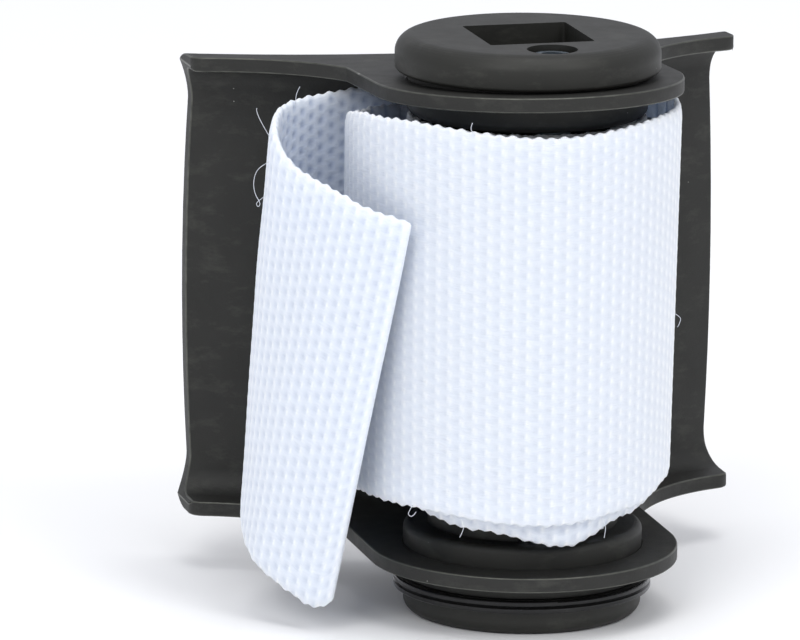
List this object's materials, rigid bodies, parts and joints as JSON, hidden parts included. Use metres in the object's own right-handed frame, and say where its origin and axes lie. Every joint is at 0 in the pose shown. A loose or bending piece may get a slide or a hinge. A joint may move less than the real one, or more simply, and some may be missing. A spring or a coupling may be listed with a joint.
{
  "type": "strap wrench",
  "caption": "Strap wrench for oil filters: a pressed steel yoke with a curved saddle, a square-drive spindle between its ears, and a white webbing strap wound on the spindle.",
  "frame": {"origin": "centre of the spindle's flat bottom face, on the spindle axis", "axes": "+Z along the spindle axis towards the head with the drive socket, +Y towards the saddle that bears on the work, +X along the saddle's chord"},
  "size_m": [0.0692, 0.0557, 0.0707],
  "materials": {
    "black_steel": "matte black phosphate",
    "turned_steel": "black oxide over a turned surface",
    "ring_steel": "glossy oiled black spring steel",
    "bright_steel": "bright spring steel",
    "webbing": "white woven polyester webbing",
    "thread": "white polyester sewing thread"
  },
  "bodies": {
    "frame": {"frame": "black_steel"},
    "spindle": {"spindle": "turned_steel", "retaining_ring": "ring_steel", "strap_pin": "bright_steel", "strap_loop": "webbing", "loop_stitching": "thread", "strap_inner_turns": "webbing"},
    "wrap": {"strap_wrap": "webbing", "strap_curl": "webbing"},
    "tail": {"strap_tail": "webbing"}
  },
  "joints": [
    {"name": "spindle_turn", "type": "hinge", "parent": "frame", "child": "spindle", "pos_m": [0, 0, 0.03], "axis": [0, 0, 1], "continuous": true},
    {"name": "wrap_turn", "type": "hinge", "parent": "frame", "child": "wrap", "pos_m": [0, 0, 0.03], "axis": [0, 0, 1], "range_deg": [-20, 120]},
    {"name": "tail_peel", "type": "hinge", "parent": "wrap", "child": "tail", "pos_m": [-0.031, 0.0032, 0.034], "axis": [-0.066, 0.041, -0.997], "range_deg": [0, 50]}
  ]
}
